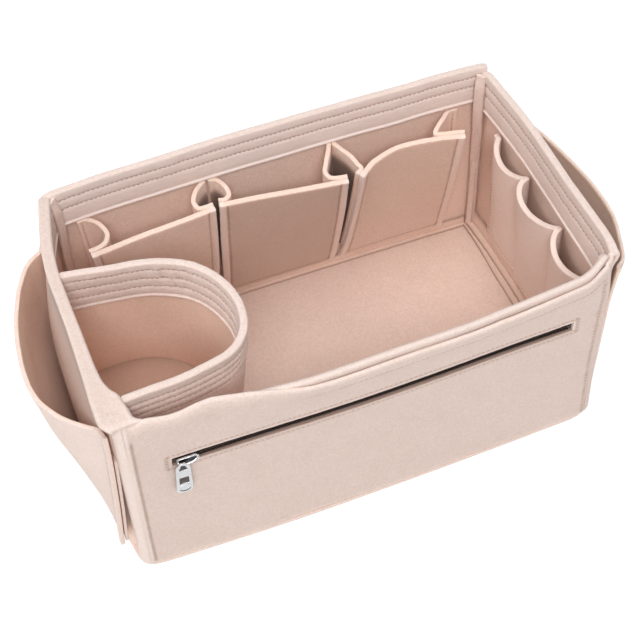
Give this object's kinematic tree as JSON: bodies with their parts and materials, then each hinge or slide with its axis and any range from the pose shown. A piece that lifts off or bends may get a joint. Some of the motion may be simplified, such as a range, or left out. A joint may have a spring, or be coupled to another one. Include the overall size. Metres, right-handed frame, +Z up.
{
  "type": "purse organizer insert",
  "caption": "Open-topped felt box that stands in a handbag, with a front zip pocket, bellows pockets, a scalloped pocket strip, a round bottle holder and outer slip pockets.",
  "frame": {"origin": "middle of the base's underside", "axes": "+X along the length towards the scalloped strip, -Y towards the zipped front, +Z up"},
  "size_m": [0.3706, 0.1883, 0.16],
  "materials": {
    "felt": "matte needle-punched felt, pale pinkish beige",
    "zip_tape": "woven tape, brown beige",
    "zip_coil": "nylon coil, brown beige",
    "zip_metal": "bright nickel"
  },
  "bodies": {
    "shell": {"base_panel": "felt", "back_wall": "felt", "left_wall": "felt", "right_wall": "felt", "front_wall": "felt", "front_zip_panel": "felt", "corner_seam_back_left": "felt", "corner_seam_back_right": "felt", "corner_seam_front_left": "felt", "corner_seam_front_right": "felt", "floor_seam_back": "felt", "floor_seam_front": "felt", "floor_seam_left": "felt", "floor_seam_right": "felt", "back_rim_band": "felt", "left_rim_band": "felt", "right_rim_band": "felt", "front_rim_fold": "felt", "pocket_gusset_1_left": "felt", "pocket_gusset_1_right": "felt", "pocket_gusset_2_left": "felt", "pocket_gusset_2_right": "felt", "pocket_gusset_3_left": "felt", "pocket_gusset_3_right": "felt", "scalloped_pocket_strip": "felt", "bottle_holder_wall": "felt", "bottle_holder_band": "felt", "bottle_holder_floor": "felt", "left_slip_pocket": "felt", "right_slip_pocket": "felt", "zip_tape_upper": "zip_tape", "zip_tape_lower": "zip_tape", "zip_coil_upper": "zip_coil", "zip_coil_lower": "zip_coil"},
    "pocket_1": {"pocket_panel_1": "felt"},
    "pocket_2": {"pocket_panel_2": "felt"},
    "pocket_3": {"pocket_panel_3": "felt"},
    "slider": {"zip_slider": "zip_metal"},
    "pull": {"zip_pull": "zip_metal"}
  },
  "joints": [
    {"name": "zip_slide", "type": "slide", "parent": "shell", "child": "slider", "axis": [1, 0, 0], "range_m": [0, 0.234]},
    {"name": "pull_swing", "type": "hinge", "parent": "slider", "child": "pull", "pos_m": [-0.119, -0.094, 0.111], "axis": [-1, 0, 0], "range_deg": [0, 170]},
    {"name": "pocket_1_open", "type": "hinge", "parent": "shell", "child": "pocket_1", "pos_m": [-0.0905, 0.0884, 0.0165], "axis": [1, 0, 0], "range_deg": [-7, 9], "stiffness_Nm_per_rad": 0.12, "deforming": ["pocket_gusset_1_left", "pocket_gusset_1_right"]},
    {"name": "pocket_2_open", "type": "hinge", "parent": "shell", "child": "pocket_2", "pos_m": [0, 0.0884, 0.0165], "axis": [1, 0, 0], "range_deg": [-7, 9], "stiffness_Nm_per_rad": 0.12, "deforming": ["pocket_gusset_2_left", "pocket_gusset_2_right"]},
    {"name": "pocket_3_open", "type": "hinge", "parent": "shell", "child": "pocket_3", "pos_m": [0.0875, 0.0884, 0.0165], "axis": [1, 0, 0], "range_deg": [-7, 9], "stiffness_Nm_per_rad": 0.12, "deforming": ["pocket_gusset_3_left", "pocket_gusset_3_right"]}
  ]
}
